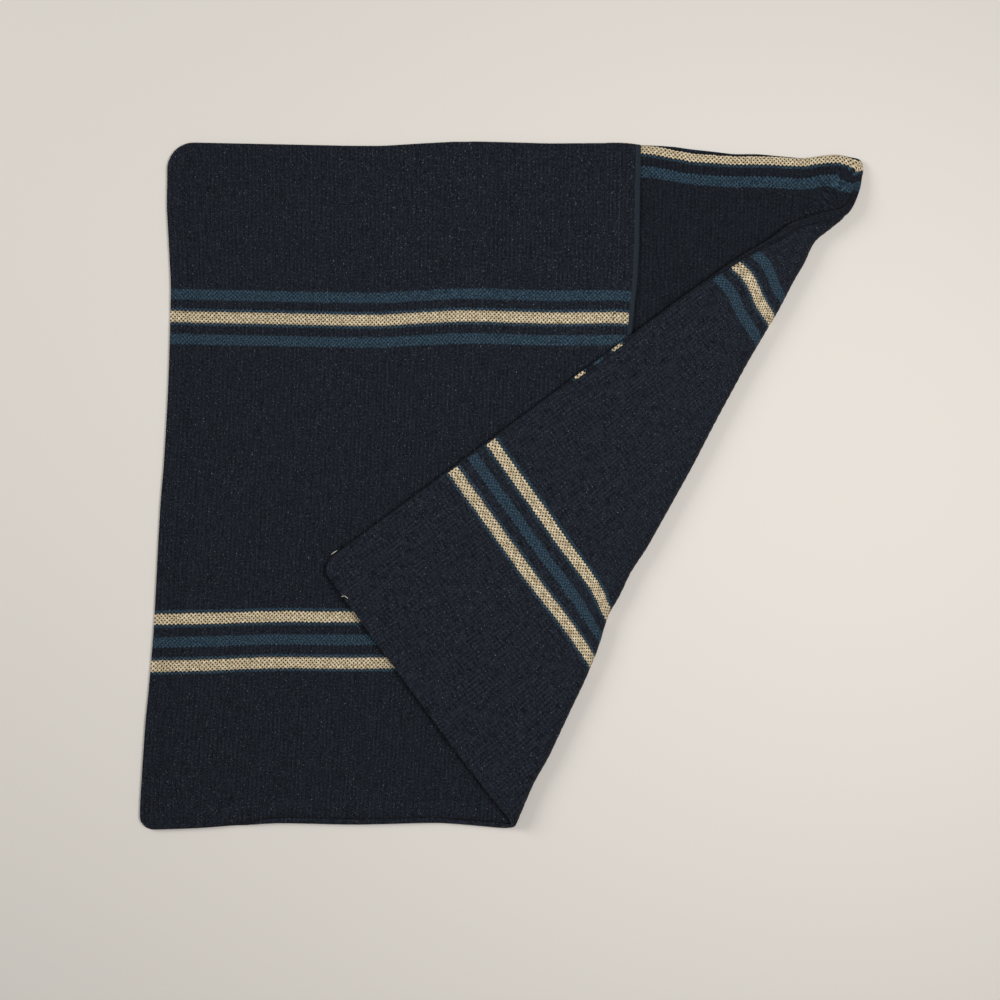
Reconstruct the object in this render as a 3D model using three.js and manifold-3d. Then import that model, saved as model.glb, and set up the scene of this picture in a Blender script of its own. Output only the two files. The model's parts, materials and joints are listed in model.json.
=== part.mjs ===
// An envelope-back cushion cover in striped woven cotton, lying face down with one corner folded over.
// Millimetres, +Z up. Each ply of cloth is a flat solid at its own level, and the folded corner is the same
// flat cover turned half round about the fold line, so it opens flat again.
import * as THREE from 'three';
import { mergeVertices } from 'three/addons/utils/BufferGeometryUtils.js';
import Module from 'manifold-3d';

const wasm = await Module();
wasm.setup();

// The cover as it lies.
const coverWidth = 450;          // from the left seam to the right seam
const coverHeight = 445;         // from the bottom seam to the top seam
const sideLean = 0.05;           // how far the sides lean to the right, per millimetre of height
const topFall = 13;              // how much lower the top right corner lies than the top left one
const cornerRound = 8;           // the sewn corners turn out round

// Cloth and thread.
const clothThickness = 0.8;
const plyGap = 0.3;              // air between two plies
const threadWidth = 0.6;
const threadThickness = 0.4;

// The two back panels that overlap as an envelope, and their turned hems.
const leftPanelWidth = 302;      // from the left seam to its free edge, on top
const panelOverlap = 100;        // how far the right panel reaches in under the left one
const hemTurn = 15;              // width of the turned ply
const hemStitch = 13;            // from the free edge to the stitching

// The sewn sides: turned allowances inside the cover, and the thread that binds their raw edges.
const seamEdge = 1;              // from the outside of the cover to the seam
const seamAllowance = 10;
const overlockWidth = 1.5;
const clipRoom = 2;              // the allowances are clipped at each corner, this far clear of each other

// Where the corner is folded over.
const foldInsideHem = 69;        // along the bottom seam, from the left panel's free edge towards the left
const foldDownSide = 2;          // from the top right corner, down the right seam

// Plies from the bottom up.
const frontPly = 0;
const allowancePly = 1;
const rightPanelPly = 2;
const leftPanelPly = 4;

const navy = { color: '#1b212b', roughness: 0.95, metalness: 0 };
const midNavy = { color: '#232c3a', roughness: 0.95, metalness: 0 };
const darkThread = { color: '#141922', roughness: 0.8, metalness: 0 };
const paleThread = { color: '#d8d4c8', roughness: 0.8, metalness: 0 };

// How finely round stretches are cut, and how far panels are drawn past the cover before they are trimmed.
const cornerSegments = 6;
const turnSegments = 12;
const trimRoom = 20;

const rightPanelWidth = coverWidth + panelOverlap - leftPanelWidth;    // from the right seam to its free edge
const foldAlongBottom = leftPanelWidth - foldInsideHem;                // from the bottom left corner
const plyStep = clothThickness + plyGap;
const plyFloor = (ply) => ply * plyStep;
const plyTop = (ply) => plyFloor(ply) + clothThickness;
const topStitchFloor = plyTop(leftPanelPly) + plyGap;
const foldHeight = topStitchFloor + threadThickness + plyGap / 2;
const stripDepth = seamEdge + seamAllowance + plyGap + overlockWidth;
const cornerClip = stripDepth * (1 + sideLean) + clipRoom;
const reach = 2 * (coverWidth + coverHeight);    // longer than anything it cuts

// Corners and directions, all in the plane of the cover.
const bottomLeft = new THREE.Vector2(-(coverWidth + sideLean * coverHeight) / 2, -coverHeight / 2);
const bottomRight = bottomLeft.clone().add(new THREE.Vector2(coverWidth, 0));
const topLeft = bottomLeft.clone().add(new THREE.Vector2(sideLean * coverHeight, coverHeight));
const topRight = bottomRight.clone().add(new THREE.Vector2(sideLean * coverHeight, coverHeight - topFall));
const upTheSide = topLeft.clone().sub(bottomLeft).normalize();

const pointAlong = (from, to, distance) => from.clone().add(to.clone().sub(from).setLength(distance));
const leftOf = (direction) => new THREE.Vector2(-direction.y, direction.x);

const foldStart = pointAlong(bottomLeft, bottomRight, foldAlongBottom);
const foldEnd = pointAlong(topRight, bottomRight, foldDownSide);
const foldDirection = foldEnd.clone().sub(foldStart).normalize();

// Between three.js geometry and manifold solids.
function solidOf(geometry) {
  const bare = geometry.clone();
  bare.deleteAttribute('normal');
  bare.deleteAttribute('uv');
  const merged = mergeVertices(bare);
  const vertProperties = new Float32Array(merged.attributes.position.array);
  const triVerts = new Uint32Array(merged.index.array);
  return new wasm.Manifold(new wasm.Mesh({ numProp: 3, vertProperties, triVerts }));
}

function geometryOf(solid) {
  const mesh = solid.getMesh();
  const geometry = new THREE.BufferGeometry();
  geometry.setAttribute('position', new THREE.BufferAttribute(mesh.vertProperties, 3));
  geometry.setIndex(new THREE.BufferAttribute(mesh.triVerts, 1));
  return geometry;
}

// A flat solid with the given outline.
function slab(shape, floor, thickness) {
  const options = { depth: thickness, bevelEnabled: false, curveSegments: cornerSegments };
  return solidOf(new THREE.ExtrudeGeometry(shape, options).translate(0, 0, floor));
}

// A profile drawn as (distance to the left of a line, height), drawn out along that line.
function profileAlong(shape, point, direction, length) {
  const options = { depth: length, bevelEnabled: false, curveSegments: turnSegments };
  const geometry = new THREE.ExtrudeGeometry(shape, options);
  geometry.translate(0, 0, -length / 2);
  const side = leftOf(direction);
  const basis = new THREE.Matrix4().makeBasis(
    new THREE.Vector3(side.x, side.y, 0),
    new THREE.Vector3(0, 0, 1),
    new THREE.Vector3(direction.x, direction.y, 0),
  );
  geometry.applyMatrix4(basis);
  return solidOf(geometry.translate(point.x, point.y, 0));
}

// Everything further than `clearance` to the left of a line.
function leftSide(point, direction, clearance) {
  const shape = new THREE.Shape([
    new THREE.Vector2(clearance, -reach),
    new THREE.Vector2(reach, -reach),
    new THREE.Vector2(reach, reach),
    new THREE.Vector2(clearance, reach),
  ]);
  return profileAlong(shape, point, direction, 2 * reach);
}

function coverOutline() {
  const corners = [bottomLeft, bottomRight, topRight, topLeft];
  const shape = new THREE.Shape();
  corners.forEach((corner, i) => {
    const before = pointAlong(corner, corners[(i + 3) % 4], cornerRound);
    const after = pointAlong(corner, corners[(i + 1) % 4], cornerRound);
    if (i === 0) shape.moveTo(before.x, before.y);
    else shape.lineTo(before.x, before.y);
    shape.quadraticCurveTo(corner.x, corner.y, after.x, after.y);
  });
  return shape;
}

// A back panel with its free edge turned under: the panel's profile is a hook, seen from the end of the hem.
function hemmedPanel(edgePoint, direction, ply, width) {
  const turnRound = (plyStep + clothThickness) / 2;
  const middle = plyFloor(ply - 1) + turnRound;
  const far = width + trimRoom;
  const hook = new THREE.Shape();
  hook.moveTo(hemTurn, plyFloor(ply - 1));
  hook.absarc(turnRound, middle, turnRound, -Math.PI / 2, Math.PI / 2, true);
  hook.lineTo(far, plyTop(ply));
  hook.lineTo(far, plyFloor(ply));
  hook.absarc(turnRound, middle, plyGap / 2, Math.PI / 2, -Math.PI / 2, false);
  hook.lineTo(hemTurn, plyTop(ply - 1));
  const panel = profileAlong(hook, edgePoint, direction, reach);
  return panel.intersect(wholeCover).subtract(turnClearance(ply));
}

// The turned ply stops short of the top and bottom seams, where the allowances lie.
function turnClearance(ply) {
  const depth = stripDepth + 2 * plyGap;
  const atBottom = sideStrip(bottomLeft, bottomRight, -plyGap, depth, -trimRoom, ply - 1);
  const atTop = sideStrip(topRight, topLeft, -plyGap, depth, -trimRoom, ply - 1);
  return atBottom.add(atTop);
}

// A flat strip beside a side of the cover, `inset` millimetres in from it.
function sideStrip(from, to, inset, width, clip, ply) {
  const along = to.clone().sub(from).normalize();
  const inward = leftOf(along);
  const start = from.clone().addScaledVector(along, clip).addScaledVector(inward, inset);
  const end = to.clone().addScaledVector(along, -clip).addScaledVector(inward, inset);
  const shape = new THREE.Shape([
    start,
    end,
    end.clone().addScaledVector(inward, width),
    start.clone().addScaledVector(inward, width),
  ]);
  return slab(shape, plyFloor(ply), clothThickness);
}

// A run of thread beside a panel's free edge, on the panel's upper face.
function hemThread(edgePoint, direction, ply) {
  const floor = plyTop(ply) + plyGap;
  const bar = new THREE.Shape([
    new THREE.Vector2(hemStitch - threadWidth / 2, floor),
    new THREE.Vector2(hemStitch + threadWidth / 2, floor),
    new THREE.Vector2(hemStitch + threadWidth / 2, floor + threadThickness),
    new THREE.Vector2(hemStitch - threadWidth / 2, floor + threadThickness),
  ]);
  return profileAlong(bar, edgePoint, direction, reach).intersect(wholeCover);
}

// The half turn of one ply round the fold line, from under the cover to the top of the folded corner.
function foldTurn(ply, within) {
  const outer = foldHeight - plyFloor(ply);
  const inner = foldHeight - plyTop(ply);
  const ring = new THREE.Shape();
  ring.absarc(0, foldHeight, outer, -Math.PI / 2, Math.PI / 2, true);
  ring.absarc(0, foldHeight, inner, Math.PI / 2, -Math.PI / 2, false);
  const turn = profileAlong(mirrored(ring), foldStart, foldDirection, reach);
  return turn.intersect(within);
}

// The same outline on the other side of its line.
function mirrored(shape) {
  const points = shape.getPoints(turnSegments).map((p) => new THREE.Vector2(-Math.abs(p.x), p.y));
  return new THREE.Shape(points.reverse());
}

const group = new THREE.Group();
const corner = new THREE.Group();
corner.position.set(foldStart.x, foldStart.y, foldHeight);
corner.quaternion.setFromAxisAngle(new THREE.Vector3(foldDirection.x, foldDirection.y, 0), Math.PI);
group.add(corner);

function addPiece(parent, name, solid, look) {
  const mesh = new THREE.Mesh(geometryOf(solid), new THREE.MeshStandardMaterial(look));
  mesh.name = name;
  if (parent === corner) mesh.position.copy(corner.position).negate();
  parent.add(mesh);
}

// Cuts a flat piece at the fold line, and turns the part beyond it over with the corner.
function addFlat(name, solid, look) {
  const inCover = solid.intersect(coverSide);
  const inCorner = solid.intersect(cornerSide);
  if (!inCover.isEmpty()) addPiece(group, name, inCover, look);
  if (!inCorner.isEmpty()) addPiece(corner, `${name}_corner`, inCorner, look);
}

const wholeCover = slab(coverOutline(), -reach, 2 * reach);
const coverSide = leftSide(foldStart, foldDirection, plyGap);
const cornerSide = leftSide(foldStart, foldDirection.clone().negate(), plyGap);

// The free edges of the two back panels. The left one is taken upwards and the right one downwards, so that
// each panel lies to the left of its own edge.
const leftFreeEdge = pointAlong(bottomLeft, bottomRight, leftPanelWidth);
const rightFreeEdge = pointAlong(bottomRight, bottomLeft, rightPanelWidth);
const downTheSide = upTheSide.clone().negate();

addFlat('front_panel', slab(coverOutline(), plyFloor(frontPly), clothThickness), navy);
addFlat('right_back_panel', hemmedPanel(rightFreeEdge, downTheSide, rightPanelPly, rightPanelWidth), navy);
addFlat('left_back_panel', hemmedPanel(leftFreeEdge, upTheSide, leftPanelPly, leftPanelWidth), midNavy);
addFlat('right_hem_stitching', hemThread(rightFreeEdge, downTheSide, rightPanelPly), darkThread);
addFlat('left_hem_stitching', hemThread(leftFreeEdge, upTheSide, leftPanelPly), darkThread);

const sides = {
  bottom: [bottomLeft, bottomRight],
  right: [bottomRight, topRight],
  top: [topRight, topLeft],
  left: [topLeft, bottomLeft],
};
for (const [side, [from, to]] of Object.entries(sides)) {
  const overlockInset = seamEdge + seamAllowance + plyGap;
  const allowance = sideStrip(from, to, seamEdge, seamAllowance, cornerClip, allowancePly);
  const overlock = sideStrip(from, to, overlockInset, overlockWidth, cornerClip, allowancePly);
  addFlat(`${side}_seam_allowance`, allowance, navy);
  addFlat(`${side}_overlock_thread`, overlock, paleThread);
}

// The left panel reaches the fold only below the point where its free edge crosses the fold line.
const leftPanelSide = leftSide(leftFreeEdge, upTheSide, 0);
addPiece(group, 'front_panel_fold', foldTurn(frontPly, wholeCover), navy);
addPiece(group, 'right_back_panel_fold', foldTurn(rightPanelPly, wholeCover), navy);
addPiece(group, 'left_back_panel_fold', foldTurn(leftPanelPly, wholeCover.intersect(leftPanelSide)), midNavy);

// The origin is under the middle of the cover's bounding box.
const box = new THREE.Box3().setFromObject(group, true);
const middle = box.getCenter(new THREE.Vector3());
group.position.set(-middle.x, -middle.y, -box.min.z);
group.updateMatrixWorld(true);

export default group;
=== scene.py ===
# Striped envelope-back cushion cover, lying face down with one corner folded over its back.
# Lengths are in millimetres until a mesh is made. A place on the cloth is (across, up): across from the
# left seam and up from the bottom seam. Depth is measured from the cover's front cloth towards its back.
import json
import math

import bpy
import numpy as np
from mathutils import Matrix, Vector


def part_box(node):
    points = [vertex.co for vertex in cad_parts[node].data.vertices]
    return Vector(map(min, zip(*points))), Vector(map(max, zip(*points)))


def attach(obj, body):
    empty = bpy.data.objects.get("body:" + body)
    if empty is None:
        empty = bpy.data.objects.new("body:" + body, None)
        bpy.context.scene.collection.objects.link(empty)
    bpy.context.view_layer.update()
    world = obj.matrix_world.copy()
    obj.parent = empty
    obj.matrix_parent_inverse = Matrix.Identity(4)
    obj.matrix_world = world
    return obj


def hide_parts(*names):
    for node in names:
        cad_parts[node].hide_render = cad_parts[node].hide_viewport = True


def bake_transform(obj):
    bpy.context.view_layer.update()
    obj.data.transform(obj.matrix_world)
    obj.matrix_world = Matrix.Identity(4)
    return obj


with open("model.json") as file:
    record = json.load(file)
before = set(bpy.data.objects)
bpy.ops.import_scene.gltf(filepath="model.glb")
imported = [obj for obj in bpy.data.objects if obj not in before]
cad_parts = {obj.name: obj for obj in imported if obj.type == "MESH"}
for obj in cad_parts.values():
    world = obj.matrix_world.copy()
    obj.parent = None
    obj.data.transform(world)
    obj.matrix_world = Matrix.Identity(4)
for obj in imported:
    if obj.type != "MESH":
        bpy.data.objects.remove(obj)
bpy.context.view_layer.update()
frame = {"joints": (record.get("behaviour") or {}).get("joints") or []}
mm = 0.001
print("frame loaded")

# The camera hangs straight above and looks down.
view = {"height": 0.905, "x": -0.0016, "y": -0.0095, "lens": 50.0, "sensor": 36.0}

cameraData = bpy.data.cameras.new("camera")
cameraData.lens = view["lens"]
cameraData.sensor_width = view["sensor"]
camera = bpy.data.objects.new("camera", cameraData)
camera.location = (view["x"], view["y"], view["height"])
bpy.context.scene.collection.objects.link(camera)
bpy.context.scene.camera = camera

# How the cover lies.
joint = frame["joints"][0]
frontLow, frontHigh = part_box("front_panel")
foldHeight = joint["pos_m"][2] / mm

cover = {
    "width": 460.0,           # cloth from seam to seam
    "height": 450.0,
    "corner": 10.0,           # how round the sewn corners turn out
    "topLeftCorner": 19.0,    # this one is sewn rounder than the rest
    "thickness": 0.8,         # one ply
    "lean": 17.5,             # how far the left side leans over, from bottom to top
    "rightLean": 13.0,
    "sideBow": 6.3,           # the left side bows in a little between its corners
    "bowSkew": 1.2,           # most a little above the middle
    "topDrop": 10.0,          # the top edge sinks towards the right corner
    "topDropFrom": 78.0,
    "topDropTo": 155.0,
    "leftWaveReach": 120.0,   # how far in the left edge's waves are felt
    "topWaveFrom": 0.4,       # the top edge's waves start at this share of the height,
    "topWaveTo": 0.75,        # and are full from here up
    "foldPull": 30.0,         # past the fold, the cloth loses the fold's own bends over this length
}
cover["left"] = frontLow.x / mm - 0.3
cover["bottom"] = frontLow.y / mm - 1.0
cover["topEdge"] = frontHigh.y / mm + 1.0

# Where the fold's own axis runs, off the hinge line: (along the hinge, out from it).
foldRoute = [(-40, 4), (0, 4), (38, 0), (56, 0.5), (91, -2), (112, -3.2), (134, -5.8), (157, -11),
             (168, -9.9), (187, -11.5), (205, -9.8), (265, -9.7), (300, -10.8), (345, -11.2), (382, -10),
             (405, -10.8), (417, -10), (428, -11.6), (435, -11), (443, -6.2), (450, -4.2), (458, -0.7),
             (465, -0.5), (500, -6.5)]
foldFar = (-3.0, -0.018)      # what the route fades to far from the fold: at its start, and per millimetre
flapPull = {"slide": -0.085, "out": 7.0, "outOver": 25.0, "tipBack": 1.3, "tipAt": 190.0}

# How far each seam has rolled over, positive towards the back of the cover: (place along the side, roll).
rollBottom = [(0, 0.3), (60, 0.5), (85, 4.5), (235, 4.3), (262, 1.5), (460, 1.0)]
rollRight = [(0, 0), (12, -1.2), (190, -1.6), (203, -3.2), (247, -3.2), (258, -1.6), (310, -2),
             (335, -3.8), (356, -4.2), (391, -9.5), (402, -10), (415, -8.5), (440, -1), (450, 0)]
rollTop = [(0, -0.6), (300, -0.6), (306, -3.6), (316, -3.6), (336, -0.9), (346, 0.2), (367, -1.7),
           (388, -2.2), (418, -3.6), (430, -4.1), (446, -3.4), (460, -0.8)]
rollLeft = -0.6

# How the edges wander off their straight lines: (x, how far up), and (up, how far in) for the left one.
topWave = [(-215, 0), (-100, -2.4), (-78, -2.5), (-54, -1), (-30, 0.3), (0, -0.3), (30, -1.2),
           (75, -0.9), (90, -2.1), (100, -1.0), (118, 1.3), (130, 2.2), (140, 2), (150, 1.6), (166, 1.6),
           (196, -1.3), (213, 1.2), (219, 1.4), (229, -1.4), (235, 0.4)]
leftWave = [(0, 0), (18, -0.9), (70, -1.2), (90, -0.6), (128, -0.1), (187, -0.9), (213, -0.9),
            (239, 0.1), (291, 1.2), (356, 2), (408, -0.5), (425, 0.1), (450, 0.2)]
bottomWave = [(-236, -1.3), (-195, 0), (-150, 4.4), (-95, 3.0), (-38, 4.6), (-12, 2.2), (12, 0)]

# The folded corner's free side comes out shorter than it is cut, as its seam is gathered: (up, how much).
gather = [(0, 0), (300, 0), (335, 1.2), (356, 3.6), (372, 5.6), (391, 4.6), (404, 3.2), (442, 0),
          (450, 0)]
gatherFrom = 370.0            # the gathering is felt from here out to the right seam

# The rows of the cloth turn down at the top right corner.
curl = {"from": 222.0, "to": 237.0, "drop": 4.2, "shareFrom": 0.8, "shareTo": 0.95, "belowSeam": 12.0}


def ramp(x, low, high):
    # 0 below low, 1 above high, smooth between
    t = np.clip((np.asarray(x, float) - low) / (high - low), 0, 1)
    return t * t * (3 - 2 * t)


def smoothLine(points, width):
    # a line through a few given points, softened over the given width
    xs = np.arange(points[0][0] - 60, points[-1][0] + 61, 1.0)
    ys = np.interp(xs, [p[0] for p in points], [p[1] for p in points])
    reach = np.arange(-3 * width, 3 * width + 1)
    kernel = np.exp(-0.5 * (reach / width) ** 2)
    padded = np.pad(ys, 3 * width, mode="edge")
    soft = np.convolve(padded, kernel / kernel.sum(), mode="valid")
    return lambda x: np.interp(x, xs, soft)


# Each line's own softening, in millimetres.
foldOffset = smoothLine(foldRoute, 4)
bottomRollAt = smoothLine(rollBottom, 5)
rightRollAt = smoothLine(rollRight, 4)
topRollAt = smoothLine(rollTop, 3)
topWaveAt = smoothLine(topWave, 3)
gatherAt = smoothLine(gather, 5)
bottomWaveAt = smoothLine(bottomWave, 9)
leftWaveAt = smoothLine(leftWave, 4)

hinge = np.array(joint["pos_m"][:2]) / mm
along = np.array(joint["axis"][:2])
along = along / np.linalg.norm(along)
outward = np.array([along[1], -along[0]])
turnRadius = foldHeight - cover["thickness"] / 2
turnLength = math.pi * turnRadius


def flatPlan(across, up):
    # where a place on the cloth lies in plan before the corner is folded
    share = up / cover["height"]
    left = cover["left"] + cover["lean"] * share
    left = left + cover["sideBow"] * np.sin(math.pi * np.clip(share, 0, 1) ** cover["bowSkew"])
    right = cover["left"] + cover["width"] + cover["rightLean"] * share
    x = left + across / cover["width"] * (right - left)
    x = x - gatherAt(up) * ramp(across, gatherFrom, cover["width"])
    x = x + leftWaveAt(up) * (1 - ramp(across, 0, cover["leftWaveReach"]))
    y = cover["bottom"] + share * (cover["topEdge"] - cover["bottom"])
    y = y - share * cover["topDrop"] * ramp(x, cover["topDropFrom"], cover["topDropTo"])
    y = y + topWaveAt(x) * ramp(share, cover["topWaveFrom"], cover["topWaveTo"])
    y = y + bottomWaveAt(x) * np.clip(1 - share, 0, 1) ** 3
    curled = np.clip((x - curl["from"]) / (curl["to"] - curl["from"]), 0, 1.2) ** 2
    curled = curled * ramp(share, curl["shareFrom"], curl["shareTo"])
    y = y - curl["drop"] * curled * ramp(cover["height"] - up, 0, curl["belowSeam"])
    return x, y


def pastFold(x, y):
    # (how far past the start of the fold's turn, place along the fold, distance out from the hinge line)
    fromHinge = (x - hinge[0]) * outward[0] + (y - hinge[1]) * outward[1]
    place = (x - hinge[0]) * along[0] + (y - hinge[1]) * along[1]
    return fromHinge - foldOffset(place), place, fromHinge


def layOut(across, up, depth):
    # folds the flat cover: a place on the cloth and its depth to x, y, z
    x, y = flatPlan(across, up)
    past, place, fromHinge = pastFold(x, y)
    angle = np.clip(past / turnRadius, 0, math.pi)
    radius = foldHeight - depth
    beyond = np.maximum(past - turnLength, 0)
    far = foldFar[0] + foldFar[1] * place
    near = foldOffset(place)
    axis = far + (near - far) * np.exp(-beyond / cover["foldPull"])
    slide = flapPull["slide"] * beyond
    out = flapPull["out"] * (1 - np.exp(-beyond / flapPull["outOver"]))
    out = out + flapPull["tipBack"] * (beyond / flapPull["tipAt"]) ** 4
    turned = near + radius * np.sin(angle)
    flap = 2 * axis - fromHinge + turnLength + out
    off = np.where(past <= 0, fromHinge, np.where(beyond > 0, flap, turned))
    place = place + slide
    planX = hinge[0] + along[0] * place + outward[0] * off
    planY = hinge[1] + along[1] * place + outward[1] * off
    z = np.where(past <= 0, depth, foldHeight - radius * np.cos(angle))
    return np.stack([planX, planY, z], axis=-1)


def fromMiddle(across, up):
    # a place counted from the cover's middle, the cover's half sizes, and how round the nearest corner is
    cx, cy = cover["width"] / 2, cover["height"] / 2
    px, py = across - cx, up - cy
    r = np.where((px < 0) & (py > 0), cover["topLeftCorner"], cover["corner"])
    return px, py, cx, cy, r


def roundCorners(across, up):
    # pulls the corners of a rectangular grid onto the cover's round corners
    px, py, cx, cy, r = fromMiddle(across, up)
    ox = np.clip((np.abs(px) - (cx - r)) / r, 0, 1)
    oy = np.clip((np.abs(py) - (cy - r)) / r, 0, 1)
    roundX = ox * np.sqrt(1 - oy ** 2 / 2)
    roundY = oy * np.sqrt(1 - ox ** 2 / 2)
    both = (ox > 0) & (oy > 0)
    px = np.where(both, np.sign(px) * (cx - r + r * roundX), px)
    py = np.where(both, np.sign(py) * (cy - r + r * roundY), py)
    return px + cx, py + cy


def fromSide(across, up):
    # distance in from the sewn outline, and the direction out across it
    px, py, cx, cy, r = fromMiddle(across, up)
    qx, qy = np.abs(px) - (cx - r), np.abs(py) - (cy - r)
    inCorner = (qx > 0) & (qy > 0)
    length = np.hypot(np.maximum(qx, 0), np.maximum(qy, 0))
    inside = r - length - np.minimum(np.maximum(qx, qy), 0)
    nx = np.where(inCorner, qx / np.maximum(length, 1e-6), (qx >= qy) * 1.0) * np.sign(px)
    ny = np.where(inCorner, qy / np.maximum(length, 1e-6), (qx < qy) * 1.0) * np.sign(py)
    return inside, nx, ny


def undulation(across, up):
    # low, slow waves in the back of the cover, 0 to 1
    waves = (np.sin(across / 41 + up / 150 + 0.4) + np.sin(up / 33 - across / 90 + 2.1)
             + 0.8 * np.sin(across / 23 - up / 61) + 0.6 * np.sin(up / 19 + across / 47 + 1.0))
    return np.clip(0.5 + waves / 6.8, 0, 1)


def puff(across, up):
    # the flap's front cloth sinks between its ridges, 0 to 1
    waves = (np.sin(across / 27 - up / 70 + 1.2) + np.sin(up / 44 + across / 61 + 0.3)
             + 0.7 * np.sin(up / 21 - across / 33 + 2.0))
    return np.clip(0.55 + waves / 6, 0, 1)


seam = {
    "turnIn": 1.3,            # how deep the two plies turn in at the seam
    "turnOver": 1.0,          # and how far in from it
    "pinch": 0.6,             # the share of that by which a ply's height closes in on the other's
    "gap": 0.5,               # half the distance between the two plies in the seam
    "allowance": 10.5,        # the turned allowances lift the cloth this far in
    "allowanceEnd": 15.5,     # and not at all from here
    "rollFull": 13.75,        # the rolled seam pulls the cloth along in full up to here
    "rollFade": 55.0,         # and not at all from here
}


def shapeEdge(across, up, pile, side, inset):
    # Rolls a ply's sewn edges. pile holds the heights that the ply's middle lies at, and side is 1 for a
    # back ply and -1 for the front. Returns the moved place on the cloth and the depth there.
    inside, nx, ny = fromSide(across, up)
    share = nx ** 2
    sideRoll = np.where(nx > 0, rightRollAt(up), rollLeft)
    endRoll = np.where(ny < 0, bottomRollAt(across), topRollAt(across))
    roll = share * sideRoll + (1 - share) * endRoll
    low = cover["thickness"] / 2
    backRidge = pile["ridge"]
    radius = (backRidge - low) / 2
    middle = (backRidge + low) / 2
    inside = np.maximum(inside, 0)
    q = roll + side * (inside + seam["gap"])
    quarter = math.pi * radius / 2
    angle = np.clip(q / radius, -math.pi / 2, math.pi / 2)
    turnIn = seam["turnIn"] * np.exp(-(inside / seam["turnOver"]) ** 2)
    edge = (radius - turnIn) * (1 - np.cos(angle)) + turnIn + np.maximum(np.abs(q) - quarter, 0)
    depth = middle + (radius - turnIn) * np.sin(angle)
    ridgeOver = ramp(edge, seam["allowance"], seam["allowanceEnd"])
    topDepth = backRidge + (pile["inner"] - backRidge) * ridgeOver - turnIn * seam["pinch"]
    lowDepth = low + pile["sink"] * ridgeOver + turnIn * seam["pinch"]
    depth = np.where(q > quarter, topDepth, np.where(-q > quarter, lowDepth, depth))
    fade = 1 - ramp(inside, seam["rollFull"], seam["rollFade"])
    move = (inside - edge - inset) * fade
    return across + nx * move, up + ny * move, depth


# The grid's lines stand this far in from a sewn edge.
besideEdge = [0, 0.5, 1.0, 1.6, 2.3, 3.1, 4.0, 5.0, 6.2, 7.6, 9.2, 11.0, 12.8, 14.6, 16.6]


def gridLines(length, step, endSewn):
    # places along a panel from a sewn edge: close together beside it, then evenly spaced
    end = [length - f for f in reversed(besideEdge)] if endSewn else [length]
    count = max(2, int(round((end[0] - besideEdge[-1]) / step)))
    middle = np.linspace(besideEdge[-1], end[0], count + 1)[1:-1]
    return np.concatenate([besideEdge, middle, end])


def pointNormals(points):
    du = np.gradient(points, axis=0)
    dv = np.gradient(points, axis=1)
    n = np.cross(du, dv)
    return n / np.maximum(np.linalg.norm(n, axis=-1, keepdims=True), 1e-9)


def clothObject(name, middle, places, thickness):
    # a ply of cloth with both its faces and its edges, from the grid of its middle surface
    n = pointNormals(middle)
    rows, columns = middle.shape[:2]
    faces = [middle + n * thickness / 2, middle - n * thickness / 2]
    co = np.concatenate([f.reshape(-1, 3) for f in faces]) * mm
    index = np.arange(rows * columns).reshape(rows, columns)
    a, b = index[:-1, :-1].ravel(), index[1:, :-1].ravel()
    c, d = index[1:, 1:].ravel(), index[:-1, 1:].ravel()
    lower = rows * columns
    quads = [np.stack([a, b, c, d], 1), np.stack([a + lower, d + lower, c + lower, b + lower], 1)]
    border = np.concatenate([index[:-1, 0], index[-1, :-1], index[:0:-1, -1], index[0, :0:-1]])
    after = np.roll(border, -1)
    quads.append(np.stack([after, border, border + lower, after + lower], 1))
    quads = np.concatenate(quads)
    mesh = bpy.data.meshes.new(name)
    mesh.from_pydata(co.tolist(), [], quads.tolist())
    mesh.polygons.foreach_set("use_smooth", [True] * len(quads))
    cloth = mesh.attributes.new("cloth", "FLOAT_VECTOR", "POINT")
    spots = np.concatenate([places.reshape(-1, 3)] * 2) * mm
    cloth.data.foreach_set("vector", spots.astype(np.float32).ravel())
    mesh.update()
    made = bpy.data.objects.new(name, mesh)
    bpy.context.scene.collection.objects.link(made)
    return made


def tubeMesh(name, runs, radius, sides=6, squash=1.0, endTaper=0.45):
    # round threads along several runs of points, joined as one object; each run's ends are closed
    verts, faces = [], []
    for run in runs:
        run = np.asarray(run, float)
        tangent = np.gradient(run, axis=0)
        tangent /= np.maximum(np.linalg.norm(tangent, axis=1, keepdims=True), 1e-9)
        up = np.array([0.0, 0.0, 1.0])
        side = np.cross(tangent, up)
        side /= np.maximum(np.linalg.norm(side, axis=1, keepdims=True), 1e-9)
        lift = np.cross(side, tangent)
        base = len(verts)
        for i, p in enumerate(run):
            taper = endTaper if i in (0, len(run) - 1) else 1.0
            for k in range(sides):
                t = 2 * math.pi * k / sides
                offset = side[i] * math.cos(t) + lift[i] * math.sin(t) * squash
                verts.append((p + radius * taper * offset) * mm)
        for i in range(len(run) - 1):
            for k in range(sides):
                a = base + i * sides + k
                b = base + i * sides + (k + 1) % sides
                faces.append((a, b, b + sides, a + sides))
        faces.append(tuple(base + k for k in reversed(range(sides))))
        faces.append(tuple(base + (len(run) - 1) * sides + k for k in range(sides)))
    mesh = bpy.data.meshes.new(name)
    mesh.from_pydata([tuple(v) for v in verts], [], faces)
    mesh.polygons.foreach_set("use_smooth", [True] * len(faces))
    mesh.update()
    made = bpy.data.objects.new(name, mesh)
    bpy.context.scene.collection.objects.link(made)
    return made


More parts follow.
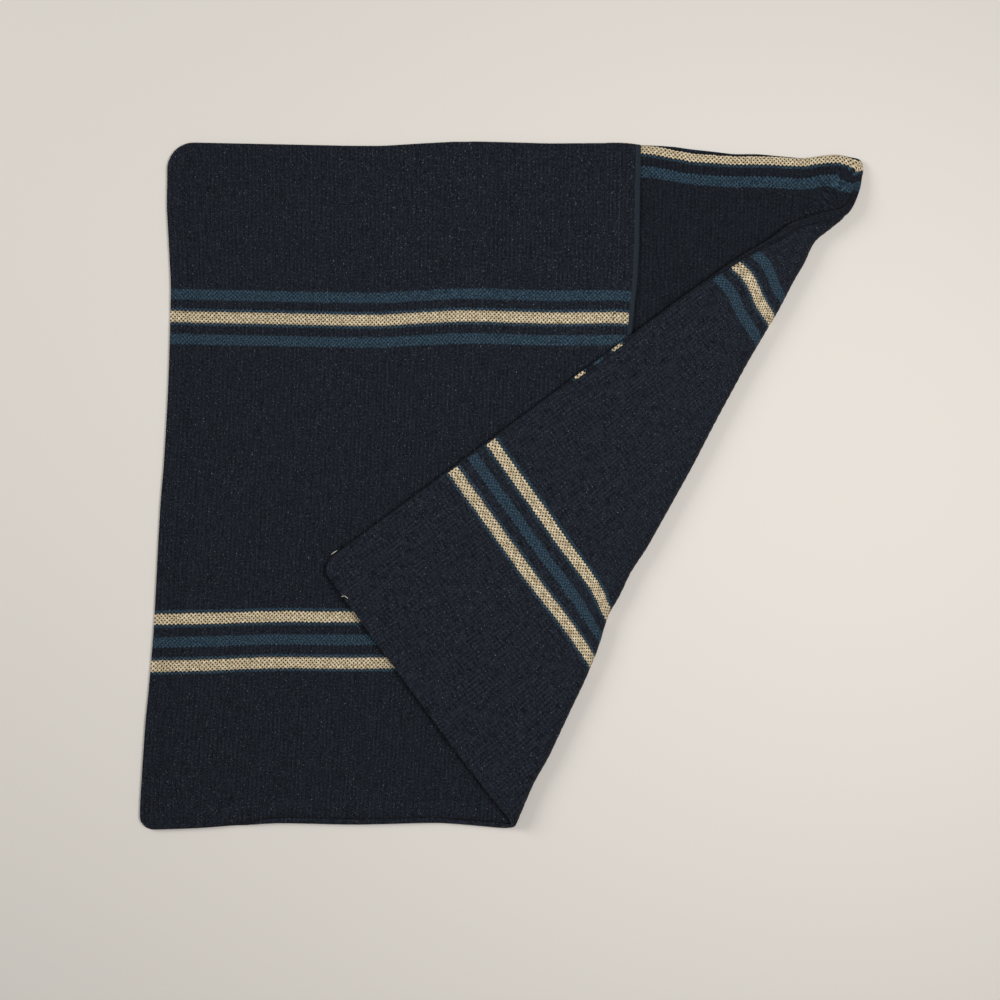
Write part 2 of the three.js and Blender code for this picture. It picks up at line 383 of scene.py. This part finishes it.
# The three panels.
panels = {
    "step": 2.7,
    "leftWidth": 306.8,       # from the left seam to the left panel's free edge
    "rightStart": 202.0,      # the right panel's free edge, from the left seam
    "hemLean": 4.2,           # the left panel's free edge leans out this far at its top end
    "hemLeanFrom": 305.0,
    "hemLeanTo": 385.0,
    "hem": 15.0,              # the turned ply
    "hemStitch": 13.0,
    "hemRound": 0.45,         # radius of the hem's turn
    "hemSteps": 6,            # grid steps round that turn, and as many along the turned ply
    "besideTurn": [3.4, 2.2, 1.3, 0.6],    # the last grid lines before the turn, this far from it
    "turnClear": 4.5,         # the evenly spaced ones stop here
    "ply": 0.9,               # one ply and the air under it
    "single": 1.7,            # height of the middle of a back panel that lies on the front alone
    "overlap": 2.8,           # and of the left panel where it lies on the right one
    "ridge": 3.2,             # height over the seam allowances
    "ridgeStep": 0.85,
    "wave": 0.7,              # how deep the back's waves are
    "puff": 1.0,              # and the hollows in the flap's front cloth
    "flapFrom": 2.0,          # those start this far past the fold,
    "flapOver": 12.0,         # and are full this far beyond its turn
    "liftFrom": 5.0,          # the left panel lifts from here before the right one's free edge
    "liftTo": 1.0,            # to here past it
    "hemFade": 4.0,           # and sinks again over this length past a hem's turned ply
    "tucked": 0.9,            # the right panel keeps this far inside the left one's outline
}


def hemLeanAt(up):
    return panels["hemLean"] * ramp(up, panels["hemLeanFrom"], panels["hemLeanTo"])


def inFlap(across, up):
    # 0 on the cover, 1 in the folded corner
    x, y = flatPlan(across, up)
    past = pastFold(x, y)[0]
    return ramp(past, panels["flapFrom"], turnLength + panels["flapOver"])


def sinkOf(across, up):
    return panels["puff"] * puff(across, up) * inFlap(across, up)


def backPile(across, up, isLeft, lowerPly):
    # the heights that a back panel's ply lies at, from what lies under it
    p = panels
    rightHem = p["rightStart"] + p["hem"]
    leftHem = p["leftWidth"] - p["hem"]
    pastRightHem = ramp(across, rightHem, rightHem + p["hemFade"])
    if isLeft:
        overRight = ramp(across, p["rightStart"] - p["liftFrom"], p["rightStart"] + p["liftTo"])
        overHem = overRight * (1 - pastRightHem)
        own = ramp(across, leftHem - p["hemFade"], leftHem)
        ridge = p["ridge"] + p["ridgeStep"] * (overRight + own)
    else:
        overRight, overHem = 0.0, 0.0
        own = 1 - pastRightHem
        ridge = p["ridge"]
    inner = p["single"] + overRight * (p["overlap"] - p["single"]) + p["ply"] * (overHem + own)
    wave = p["wave"] * undulation(across, up) + sinkOf(across, up)
    return {"inner": inner + wave - lowerPly * p["ply"], "ridge": ridge,
            "sink": sinkOf(across, up), "lower": lowerPly * p["ridgeStep"]}


def frontPanelMesh():
    p = panels
    acrossLines = gridLines(cover["width"], p["step"], True)
    upLines = gridLines(cover["height"], p["step"], True)
    across, up = np.meshgrid(acrossLines, upLines, indexing="ij")
    across, up = roundCorners(across, up)
    underBoth = ramp(across, p["rightStart"] - p["liftFrom"], p["rightStart"] + p["liftTo"])
    underBoth = underBoth * (1 - ramp(across, p["leftWidth"] - 1, p["leftWidth"] + 4))
    pile = {"inner": p["single"], "ridge": p["ridge"] + p["ridgeStep"] * underBoth,
            "sink": sinkOf(across, up)}
    movedAcross, movedUp, depth = shapeEdge(across, up, pile, -1, 0.0)
    points = layOut(movedAcross, movedUp, depth)[:, ::-1]
    places = np.stack([across, up, np.zeros_like(up)], -1)[:, ::-1]
    return clothObject("frontPanel", points, places, cover["thickness"])


def backPanelMesh(name, isLeft):
    # the run goes from the seam to the free edge, round the hem's turn and back along the turned ply
    p = panels
    turn = math.pi * p["hemRound"]
    turnSteps = np.linspace(0, turn, p["hemSteps"] + 1)[1:]
    width = p["leftWidth"] if isLeft else cover["width"] - p["rightStart"]
    length = width - p["hemRound"]
    main = gridLines(length, p["step"], False)
    beforeTurn = length - np.array(p["besideTurn"])
    main = np.unique(np.concatenate([main[main < length - p["turnClear"]], beforeTurn, [length]]))
    back = np.linspace(0, p["hem"], p["hemSteps"] + 1)[1:]
    run = np.concatenate([main, length + turnSteps, length + turn + back])
    angle = np.clip((run - length) / p["hemRound"], 0, math.pi)
    place = np.minimum(run, length) + p["hemRound"] * np.sin(angle) - np.maximum(run - length - turn, 0)
    under = (1 - np.cos(angle)) / 2
    fromEdge = np.maximum(length - run, 0)
    upLines = gridLines(cover["height"], p["step"], True)
    across, up = np.meshgrid(place if isLeft else cover["width"] - place, upLines, indexing="ij")
    lowerPly = np.repeat(under[:, None], len(upLines), axis=1)
    across, up = roundCorners(across, up)
    if isLeft:
        across = across + hemLeanAt(up) * (across / p["leftWidth"]) ** 4
    pile = backPile(across, up, isLeft, lowerPly)
    inset = 0.0 if isLeft else p["tucked"] * (1 - ramp(across, p["leftWidth"] - 2, p["leftWidth"] + 5))
    movedAcross, movedUp, depth = shapeEdge(across, up, pile, 1, inset)
    overAllowance = 1 - ramp(fromSide(across, up)[0], seam["allowance"], seam["allowanceEnd"])
    depth = depth - pile["lower"] * overAllowance
    points = layOut(movedAcross, movedUp, depth)
    hemPlace = np.repeat(fromEdge[:, None], len(upLines), axis=1)
    places = np.stack([across, up, hemPlace], -1)
    if not isLeft:
        points, places = points[::-1], places[::-1]
    return clothObject(name, points, places, cover["thickness"])


frontPanel = frontPanelMesh()
leftBackPanel = backPanelMesh("leftBackPanel", True)
rightBackPanel = backPanelMesh("rightBackPanel", False)
print("panels made")

# Hem stitching: straight lockstitch, each stitch a little off line.
stitches = {
    "length": 2.7,
    "gap": 0.8,
    "radius": 0.3,
    "points": 5,
    "fromEnd": 4.0,           # the row starts this far from the cover's top and bottom
    "stray": 0.12,            # how far off the line a stitch sits
    "slant": 0.15,            # how far its two ends are out of line, and how much that varies
    "rise": 0.9,              # how far its middle stands up, in radii
    "sunk": 0.35,             # and how deep its ends sit
}


def hemStitches(name, across, isLeft, seed):
    rng = np.random.default_rng(seed)
    runs = []
    pitch = stitches["length"] + stitches["gap"]
    for i in range(int((cover["height"] - 2 * stitches["fromEnd"]) / pitch)):
        start = stitches["fromEnd"] + i * pitch
        t = np.linspace(0, 1, stitches["points"])
        ups = start + t * stitches["length"]
        lean = hemLeanAt(ups) * isLeft
        sideways = across + lean + rng.normal(0, stitches["stray"])
        sideways = sideways + (t - 0.5) * rng.normal(stitches["slant"], stitches["slant"])
        pile = backPile(sideways, ups, isLeft, 0.0)
        _, _, depth = shapeEdge(sideways, ups, pile, 1, 0.0)
        bow = np.sin(math.pi * t)
        lift = cover["thickness"] / 2 + stitches["radius"] * (bow * stitches["rise"] - stitches["sunk"])
        runs.append(layOut(sideways, ups, depth + lift))
    return tubeMesh(name, runs, stitches["radius"], squash=0.8)


leftHemStitching = hemStitches("leftHemStitching", panels["leftWidth"] - panels["hemStitch"], True, 7)
rightHemStitching = hemStitches("rightHemStitching", panels["rightStart"] + panels["hemStitch"], False, 8)

# Seam allowances and the overlock thread that binds them.
allowance = {
    "from": 1.6,              # in from the seam
    "to": 10.0,
    "depth": 1.5,
    "thickness": 0.6,
    "clip": 15.0,             # cut away at the corners
    "pointsAlong": 130,
    "pointsIn": 4,
    "threadFrom": 10.8,       # the thread swings between here and threadWidth further in
    "threadWidth": 1.5,
    "threadPitch": 3.0,
    "threadRadius": 0.25,
}
sides = {"bottom": (0, -1), "right": (1, 0), "top": (0, 1), "left": (-1, 0)}


def besideSeam(side, place, inside):
    # a place given by its distance along one side and in from it
    nx, ny = sides[side]
    if nx:
        return (cover["width"] - inside if nx > 0 else inside), place
    return place, (cover["height"] - inside if ny > 0 else inside)


def seamStrip(side):
    length = cover["height"] if sides[side][0] else cover["width"]
    run = np.linspace(allowance["clip"], length - allowance["clip"], allowance["pointsAlong"])
    insides = np.linspace(allowance["from"], allowance["to"], allowance["pointsIn"])
    place, inside = np.meshgrid(run, insides, indexing="ij")
    across, up = besideSeam(side, place, inside)
    points = layOut(across, up, allowance["depth"])
    places = np.stack([across, up, 0 * up], -1)
    if sum(sides[side]) > 0:
        points, places = points[:, ::-1], places[:, ::-1]      # so that its faces look outwards
    return clothObject(f"{side}SeamAllowance", points, places, allowance["thickness"])


def overlockThread(side):
    length = cover["height"] if sides[side][0] else cover["width"]
    count = int((length - 2 * allowance["clip"]) / allowance["threadPitch"] * 2)
    run = np.linspace(allowance["clip"], length - allowance["clip"], count)
    swing = np.where(np.arange(count) % 2 == 0, 0.0, allowance["threadWidth"])
    across, up = besideSeam(side, run, allowance["threadFrom"] + swing)
    return tubeMesh(f"{side}OverlockThread", [layOut(across, up, allowance["depth"])],
                    allowance["threadRadius"])


strips = {side: seamStrip(side) for side in sides}
overlocks = {side: overlockThread(side) for side in sides}
print("stitching and seam allowances made")

# A few loose ends of pale thread at the folded corner's tip, as x, y and z.
looseEnds = {
    "radius": 0.32,
    "runs": [[(-110.4, -44.7, 10.6), (-109.0, -43.7, 11.2), (-107.7, -42.8, 11.3), (-106.4, -41.9, 10.8)],
             [(-103.8, -71.9, 10.8), (-102.8, -71.3, 11.6), (-101.2, -71.3, 11.9), (-99.6, -72.6, 11.9),
              (-98.3, -74.2, 11.4)]],
}
looseThreads = tubeMesh("looseThreads", looseEnds["runs"], looseEnds["radius"])


def linear(hexColour):
    # an sRGB hex colour to linear red, green, blue and alpha
    values = [int(hexColour[i:i + 2], 16) / 255 for i in (1, 3, 5)]
    return tuple(v / 12.92 if v <= 0.04045 else ((v + 0.055) / 1.055) ** 2.4 for v in values) + (1.0,)


def node(tree, kind, settings=None, **links):
    # adds a node; settings are its properties by name and its sockets by number, links are i0, i1 and so on
    made = tree.nodes.new(kind)
    for key, value in (settings or {}).items():
        if isinstance(key, str):
            setattr(made, key, value)
    for key, value in (settings or {}).items():
        if not isinstance(key, str):
            made.inputs[key].default_value = value
    for key, source in links.items():
        source = source.outputs[0] if hasattr(source, "outputs") else source
        tree.links.new(source, made.inputs[int(key[1:])])
    return made


def newMaterial(name, settings):
    material = bpy.data.materials.new(name)
    material.use_nodes = True
    tree = material.node_tree
    tree.nodes.clear()
    out = tree.nodes.new("ShaderNodeOutputMaterial")
    shader = tree.nodes.new("ShaderNodeBsdfPrincipled")
    tree.links.new(shader.outputs[0], out.inputs["Surface"])
    for key, value in settings.items():
        shader.inputs[key].default_value = value
    return material, tree, shader


# Cotton, yarn dyed and woven plain in thick, slubby threads: the eye sees a dull dark ground of fine ribs
# with lighter flecks, and stripes of raised pale and teal dots where a coloured thread crosses over.
# The real threads look to be 1.0 to 1.3 mm apart, too fine to show, so they are drawn a little coarser.
weave = {
    "warpPitch": 1.35,        # between the threads that run up the cloth
    "weftPitch": 1.35,        # and between those that run across it
    "wobble": 1.2,            # how far a thread strays
    "navyDark": "#090b10",
    "navyLight": "#282e39",
    "fleck": "#a3a8ab",
    "teal": "#435f71",
    "tealDark": "#15222d",
    "beige": "#fdecc9",
    "beigeDark": "#9c8662",
    "gap": "#24221f",
    # the hem's turned edge is plain and a lighter navy: a painted highlight where the rolled edge catches
    # light
    "hemEdgeHighlight": "#293139",
    "hemEdgeHighlightShown": 0.8,
    "roughness": 0.9,
    "sheen": 0.04,
    "relief": 0.35,           # how high a thread stands
    "upSlub": (0.75, 0.09, 1.0),       # streaks per millimetre in the threads that run up
    "acrossSlub": (0.16, 0.8, 1.0),    # and in those that run across
    "stripeTeeth": -0.55,     # how far the crossing threads notch a stripe's edge
    "stripeSoft": 0.3,
}
# Two kinds of band, A and B, with stripes mirrored about the band's middle: (band, distance out, half
# of the stripe's width).
stripes = {
    "beige": [("A", 0.0, 3.4), ("B", 15.3, 3.4)],
    "teal": [("A", 14.7, 3.3), ("B", 0.0, 3.3), ("A", 4.7, 0.75), ("B", 10.6, 0.75), ("B", 20.0, 0.75)],
}


def plainWeave(tree):
    # the threads of a plain weave, from the place on the cloth in millimetres
    place = node(tree, "ShaderNodeAttribute", {"attribute_name": "cloth"})
    inMm = node(tree, "ShaderNodeVectorMath", {"operation": "SCALE", 3: 1 / mm}, i0=place.outputs["Vector"])

    # threads stray a little, so their rows aren't ruled
    stray = node(tree, "ShaderNodeTexNoise", {2: 0.16, 3: 2.0}, i0=inMm)
    centred = node(tree, "ShaderNodeVectorMath", {"operation": "SUBTRACT", 1: (0.5, 0.5, 0.5)},
                   i0=stray.outputs["Color"])
    offset = node(tree, "ShaderNodeVectorMath", {"operation": "SCALE", 3: weave["wobble"]}, i0=centred)
    strayed = node(tree, "ShaderNodeVectorMath", {"operation": "ADD"}, i0=inMm, i1=offset)
    axes = node(tree, "ShaderNodeSeparateXYZ", i0=strayed)
    turns = [node(tree, "ShaderNodeMath", {"operation": "MULTIPLY", 1: math.pi / pitch}, i0=axes.outputs[i])
             for i, pitch in enumerate((weave["warpPitch"], weave["weftPitch"]))]
    waves = [node(tree, "ShaderNodeMath", {"operation": "SINE"}, i0=turn) for turn in turns]
    # positive where the thread across is on top
    crossing = node(tree, "ShaderNodeMath", {"operation": "MULTIPLY"}, i0=waves[0], i1=waves[1])
    speck = node(tree, "ShaderNodeTexNoise", {2: 0.95, 3: 3.0, 4: 0.7}, i0=inMm)
    return {"inMm": inMm, "up": axes.outputs[1], "rib": waves[0], "crossing": crossing, "speck": speck}


def yarnLightness(tree, threads):
    # long streaks of lighter and darker fibre, up and across
    across = node(tree, "ShaderNodeMapRange", {"interpolation_type": "SMOOTHSTEP", 1: -0.55, 2: 0.15},
                  i0=threads["crossing"])
    upYarn = node(tree, "ShaderNodeMapping", {3: weave["upSlub"]}, i0=threads["inMm"])
    upStreak = node(tree, "ShaderNodeTexNoise", {2: 1.0, 3: 2.0, 4: 0.6}, i0=upYarn)
    acrossYarn = node(tree, "ShaderNodeMapping", {3: weave["acrossSlub"], 1: (31.0, 7.0, 0.0)},
                      i0=threads["inMm"])
    acrossStreak = node(tree, "ShaderNodeTexNoise", {2: 1.0, 3: 2.0, 4: 0.6}, i0=acrossYarn)
    melange = node(tree, "ShaderNodeMix", {"data_type": "FLOAT"}, i0=across, i2=upStreak, i3=acrossStreak)
    return node(tree, "ShaderNodeMapRange", {1: 0.34, 2: 0.66}, i0=melange)


def navyGround(tree, threads, lightness, groundPaintedLight, fleckShade):
    # fine dark ribs, with light flecks of undyed fibre
    # the panel's factor scales the ground's lightness: above 1 it is painted light, below 1 painted shade
    rib = node(tree, "ShaderNodeMapRange", {1: -1.0, 2: 1.0, 3: 0.6 * groundPaintedLight, 4: groundPaintedLight},
               i0=threads["rib"])
    lit = node(tree, "ShaderNodeMath", {"operation": "MULTIPLY"}, i0=lightness, i1=rib)
    ground = node(tree, "ShaderNodeMix", {"data_type": "RGBA", 6: linear(weave["navyDark"]),
                                          7: linear(weave["navyLight"])}, i0=lit)
    fleck = node(tree, "ShaderNodeMapRange", {1: 0.63, 2: 0.76, 4: 0.85 * fleckShade}, i0=threads["speck"])
    return node(tree, "ShaderNodeMix", {"data_type": "RGBA", 7: linear(weave["fleck"])}, i0=fleck,
                i6=ground.outputs[2]).outputs[2]


def stripeMask(tree, threads, colour, bands):
    # 1 on the stripes of one colour; the crossing threads leave their edges toothed
    result = None
    soft = weave["stripeSoft"]
    for band, out, half in stripes[colour]:
        fromBand = node(tree, "ShaderNodeMath", {"operation": "SUBTRACT", 1: bands[band]}, i0=threads["up"])
        size = node(tree, "ShaderNodeMath", {"operation": "ABSOLUTE"}, i0=fromBand)
        fromStripe = node(tree, "ShaderNodeMath", {"operation": "SUBTRACT", 1: out}, i0=size)
        away = node(tree, "ShaderNodeMath", {"operation": "ABSOLUTE"}, i0=fromStripe)
        toothed = node(tree, "ShaderNodeMath", {"operation": "MULTIPLY_ADD", 1: weave["stripeTeeth"]},
                       i0=threads["crossing"], i2=away)
        mask = node(tree, "ShaderNodeMapRange", {1: half - soft, 2: half + soft, 3: 1.0, 4: 0.0}, i0=toothed)
        if result is not None:
            mask = node(tree, "ShaderNodeMath", {"operation": "MAXIMUM"}, i0=result, i1=mask)
        result = mask
    return result


def tealOver(tree, threads, mask, below):
    # teal yarn shows most where it lies on top
    speckled = node(tree, "ShaderNodeMapRange", {1: 0.4, 2: 0.62}, i0=threads["speck"])
    teal = node(tree, "ShaderNodeMix", {"data_type": "RGBA", 6: linear(weave["tealDark"]),
                                        7: linear(weave["teal"])}, i0=speckled)
    shown = node(tree, "ShaderNodeMapRange", {1: -0.7, 2: 0.3, 3: 0.15}, i0=threads["crossing"])
    onTop = node(tree, "ShaderNodeMath", {"operation": "MULTIPLY"}, i0=mask, i1=shown)
    return node(tree, "ShaderNodeMix", {"data_type": "RGBA"}, i0=onTop, i6=below,
                i7=teal.outputs[2]).outputs[2]


def beigeOver(tree, threads, lightness, mask, below):
    # pale yarn packed close, with dark gaps between its threads
    yarn = node(tree, "ShaderNodeMix", {"data_type": "RGBA", 6: linear(weave["beigeDark"]),
                                        7: linear(weave["beige"])}, i0=lightness)
    uneven = node(tree, "ShaderNodeMath", {"operation": "ADD"}, i0=threads["crossing"], i1=threads["speck"])
    packed = node(tree, "ShaderNodeMapRange", {"interpolation_type": "SMOOTHSTEP", 1: -0.25, 2: 0.55},
                  i0=uneven)
    beige = node(tree, "ShaderNodeMix", {"data_type": "RGBA", 6: linear(weave["gap"])}, i0=packed,
                 i7=yarn.outputs[2])
    return node(tree, "ShaderNodeMix", {"data_type": "RGBA"}, i0=mask, i6=below,
                i7=beige.outputs[2]).outputs[2]


def wovenCotton(name, bandA, bandB, hemBand=0.0, seamRow=0.0, groundPaintedLight=1.0, fleckShade=1.0):
    # bandA and bandB are the middles of its two bands of stripes, up from the bottom seam; hemBand and
    # seamRow are how wide the plain strips are along the hem's edge and the top seam
    surface = {"Roughness": weave["roughness"], "Sheen Weight": weave["sheen"], "Sheen Roughness": 0.5,
               "IOR": 1.5, "Specular IOR Level": 0.12}
    material, tree, shader = newMaterial(name, surface)
    threads = plainWeave(tree)
    lightness = yarnLightness(tree, threads)
    bands = {"A": bandA, "B": bandB}
    masks = {colour: stripeMask(tree, threads, colour, bands) for colour in stripes}
    if hemBand:
        # the turned edge of the hem shows none of the stripes; the third coordinate is the distance from it
        fromEdge = node(tree, "ShaderNodeSeparateXYZ", i0=threads["inMm"]).outputs[2]
        inward = node(tree, "ShaderNodeMath", {"operation": "GREATER_THAN", 1: hemBand}, i0=fromEdge)
        masks = {colour: node(tree, "ShaderNodeMath", {"operation": "MULTIPLY"}, i0=mask, i1=inward)
                 for colour, mask in masks.items()}
    if seamRow:
        # a dark row runs along the top seam, where the front's cloth comes over it
        below = node(tree, "ShaderNodeMath", {"operation": "LESS_THAN", 1: cover["height"] - seamRow},
                     i0=threads["up"])
        masks["beige"] = node(tree, "ShaderNodeMath", {"operation": "MULTIPLY"}, i0=masks["beige"], i1=below)
    colour = navyGround(tree, threads, lightness, groundPaintedLight, fleckShade)
    colour = tealOver(tree, threads, masks["teal"], colour)
    colour = beigeOver(tree, threads, lightness, masks["beige"], colour)
    # the turned edge is painted a plain, lighter navy: painted highlight on the rolled hem
    if hemBand:
        edge = node(tree, "ShaderNodeMath", {"operation": "SUBTRACT", 0: weave["hemEdgeHighlightShown"]}, i1=inward)
        soft = node(tree, "ShaderNodeMath", {"operation": "MAXIMUM", 1: 0.0}, i0=edge)
        colour = node(tree, "ShaderNodeMix", {"data_type": "RGBA", 7: linear(weave["hemEdgeHighlight"])}, i0=soft,
                      i6=colour).outputs[2]
    tree.links.new(colour, shader.inputs["Base Color"])

    relief = node(tree, "ShaderNodeMath", {"operation": "ABSOLUTE"}, i0=threads["crossing"])
    fuzz = node(tree, "ShaderNodeMath", {"operation": "MULTIPLY_ADD", 1: 0.5},
                i0=threads["speck"], i2=relief)
    bump = node(tree, "ShaderNodeBump", {0: 0.6, 1: weave["relief"] * mm}, i3=fuzz)
    tree.links.new(bump.outputs[0], shader.inputs["Normal"])
    return material


# Polyester thread, spun and twisted: smoother than the cloth, so it keeps a faint shine. A real thread's
# twist is too fine to show, so it is drawn coarser.
thread = {"roughness": 0.6, "sheen": 0.1, "twistPitch": 0.4 * math.pi, "relief": 0.1}


def twistedThread(name, light, dark):
    surface = {"Roughness": thread["roughness"], "IOR": 1.55, "Sheen Weight": thread["sheen"]}
    material, tree, shader = newMaterial(name, surface)
    place = node(tree, "ShaderNodeTexCoord")
    inMm = node(tree, "ShaderNodeVectorMath", {"operation": "SCALE", 3: 1 / mm}, i0=place.outputs["Object"])
    # at scale 1, the wave texture repeats every 0.2 pi along an axis
    twist = node(tree, "ShaderNodeTexWave", {"bands_direction": "DIAGONAL",
                                             1: 0.2 * math.pi / thread["twistPitch"], 2: 1.5}, i0=inMm)
    colour = node(tree, "ShaderNodeMix", {"data_type": "RGBA", 6: linear(dark), 7: linear(light)}, i0=twist)
    tree.links.new(colour.outputs[2], shader.inputs["Base Color"])
    bump = node(tree, "ShaderNodeBump", {0: 0.5, 1: thread["relief"] * mm}, i3=twist)
    tree.links.new(bump.outputs[0], shader.inputs["Normal"])
    return material


# The front's ground is painted lighter, as painted light on the raised flap; the right panel's is painted
# darker, as painted shade in the hollow under the flap, and shows fewer light flecks.
cloths = {
    "front": {"bandA": 335.5, "bandB": 122.5, "groundPaintedLight": 1.2, "fleckShade": 1.15},
    "left": {"bandA": 335.5, "bandB": 122.5, "hemBand": 2.4},
    "right": {"bandA": 444.3, "bandB": 225.5, "seamRow": 3.9, "groundPaintedLight": 0.8, "fleckShade": 0.35},
}
frontCotton = wovenCotton("wovenCottonFront", **cloths["front"])
leftCotton = wovenCotton("wovenCottonLeft", **cloths["left"])
rightCotton = wovenCotton("wovenCottonRight", **cloths["right"])
navyThread = twistedThread("twistedThreadNavy", "#1a212a", "#0d1116")
overlockThreadPale = twistedThread("twistedThreadPale", "#d8d4c8", "#a9a496")
frontPanel.data.materials.append(frontCotton)
leftBackPanel.data.materials.append(leftCotton)
rightBackPanel.data.materials.append(rightCotton)
for piece in [leftHemStitching, rightHemStitching]:
    piece.data.materials.append(navyThread)
for piece in strips.values():
    piece.data.materials.append(frontCotton)
for piece in [*overlocks.values(), looseThreads]:
    piece.data.materials.append(overlockThreadPale)
print("materials made")


def bendsAcross(piece):
    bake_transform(piece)


for piece in [frontPanel, rightBackPanel, leftBackPanel, leftHemStitching]:
    bendsAcross(piece)
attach(rightHemStitching, "cover")
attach(looseThreads, "folded_corner")
for side in sides:
    if side in ("bottom", "right"):
        bendsAcross(strips[side])
        bendsAcross(overlocks[side])
    else:
        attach(strips[side], "cover")
        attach(overlocks[side], "cover")

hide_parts("front_panel", "front_panel_fold", "front_panel_corner")
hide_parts("right_back_panel", "right_back_panel_fold", "right_back_panel_corner")
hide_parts("left_back_panel", "left_back_panel_fold", "left_back_panel_corner")
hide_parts("left_hem_stitching", "left_hem_stitching_corner")
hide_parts("right_hem_stitching")
for side in sides:
    ends = ["", "_corner"] if side in ("bottom", "right") else [""]
    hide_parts(*[f"{side}_seam_allowance{end}" for end in ends])
    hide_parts(*[f"{side}_overlock_thread{end}" for end in ends])

print("pieces ride on the frame")

# Floor and light: a pale paper floor, a broad window at the upper left and a soft lamp overhead.
stage = {
    "floorHalf": 3.0,
    "paper": "#ede7df",
    "paperRoughness": 0.85,
    "worldColour": (1.0, 0.98, 0.95, 1.0),
    "worldStrength": 0.16,
}

floorMesh = bpy.data.meshes.new("floor")
half = stage["floorHalf"]
floorMesh.from_pydata([(-half, -half, 0), (half, -half, 0), (half, half, 0), (-half, half, 0)], [],
                      [(0, 1, 2, 3)])
floor = bpy.data.objects.new("floor", floorMesh)
bpy.context.scene.collection.objects.link(floor)
# uncoated paper, so the eye sees an even, dull, warm white
floorMesh.materials.append(newMaterial("uncoatedPaper", {"Roughness": stage["paperRoughness"],
                                                    "Base Color": linear(stage["paper"])})[0])

bpy.context.scene.view_settings.view_transform = "Standard"
world = bpy.data.worlds.new("studio")
bpy.context.scene.world = world
world.use_nodes = True
background = world.node_tree.nodes["Background"]
background.inputs["Color"].default_value = stage["worldColour"]
background.inputs["Strength"].default_value = stage["worldStrength"]

lights = {
    "windowLight": {"location": (-1.3, 0.5, 1.0), "aim": (0.0, 0.0, 0.0), "size": 0.9, "power": 12.3},
    "roomLight": {"location": (0.3, 0.0, 0.9), "aim": (0.3, 0.0, 0.0), "size": 0.35, "power": 5.2},
}
for name, lamp in lights.items():
    lightData = bpy.data.lights.new(name, "AREA")
    lightData.shape = "DISK"
    lightData.size = lamp["size"]
    lightData.energy = lamp["power"]
    light = bpy.data.objects.new(name, lightData)
    light.location = lamp["location"]
    towards = Vector(lamp["aim"]) - Vector(lamp["location"])
    light.rotation_euler = towards.to_track_quat("-Z", "Y").to_euler()
    light.visible_camera = False
    bpy.context.scene.collection.objects.link(light)
print("stage made")
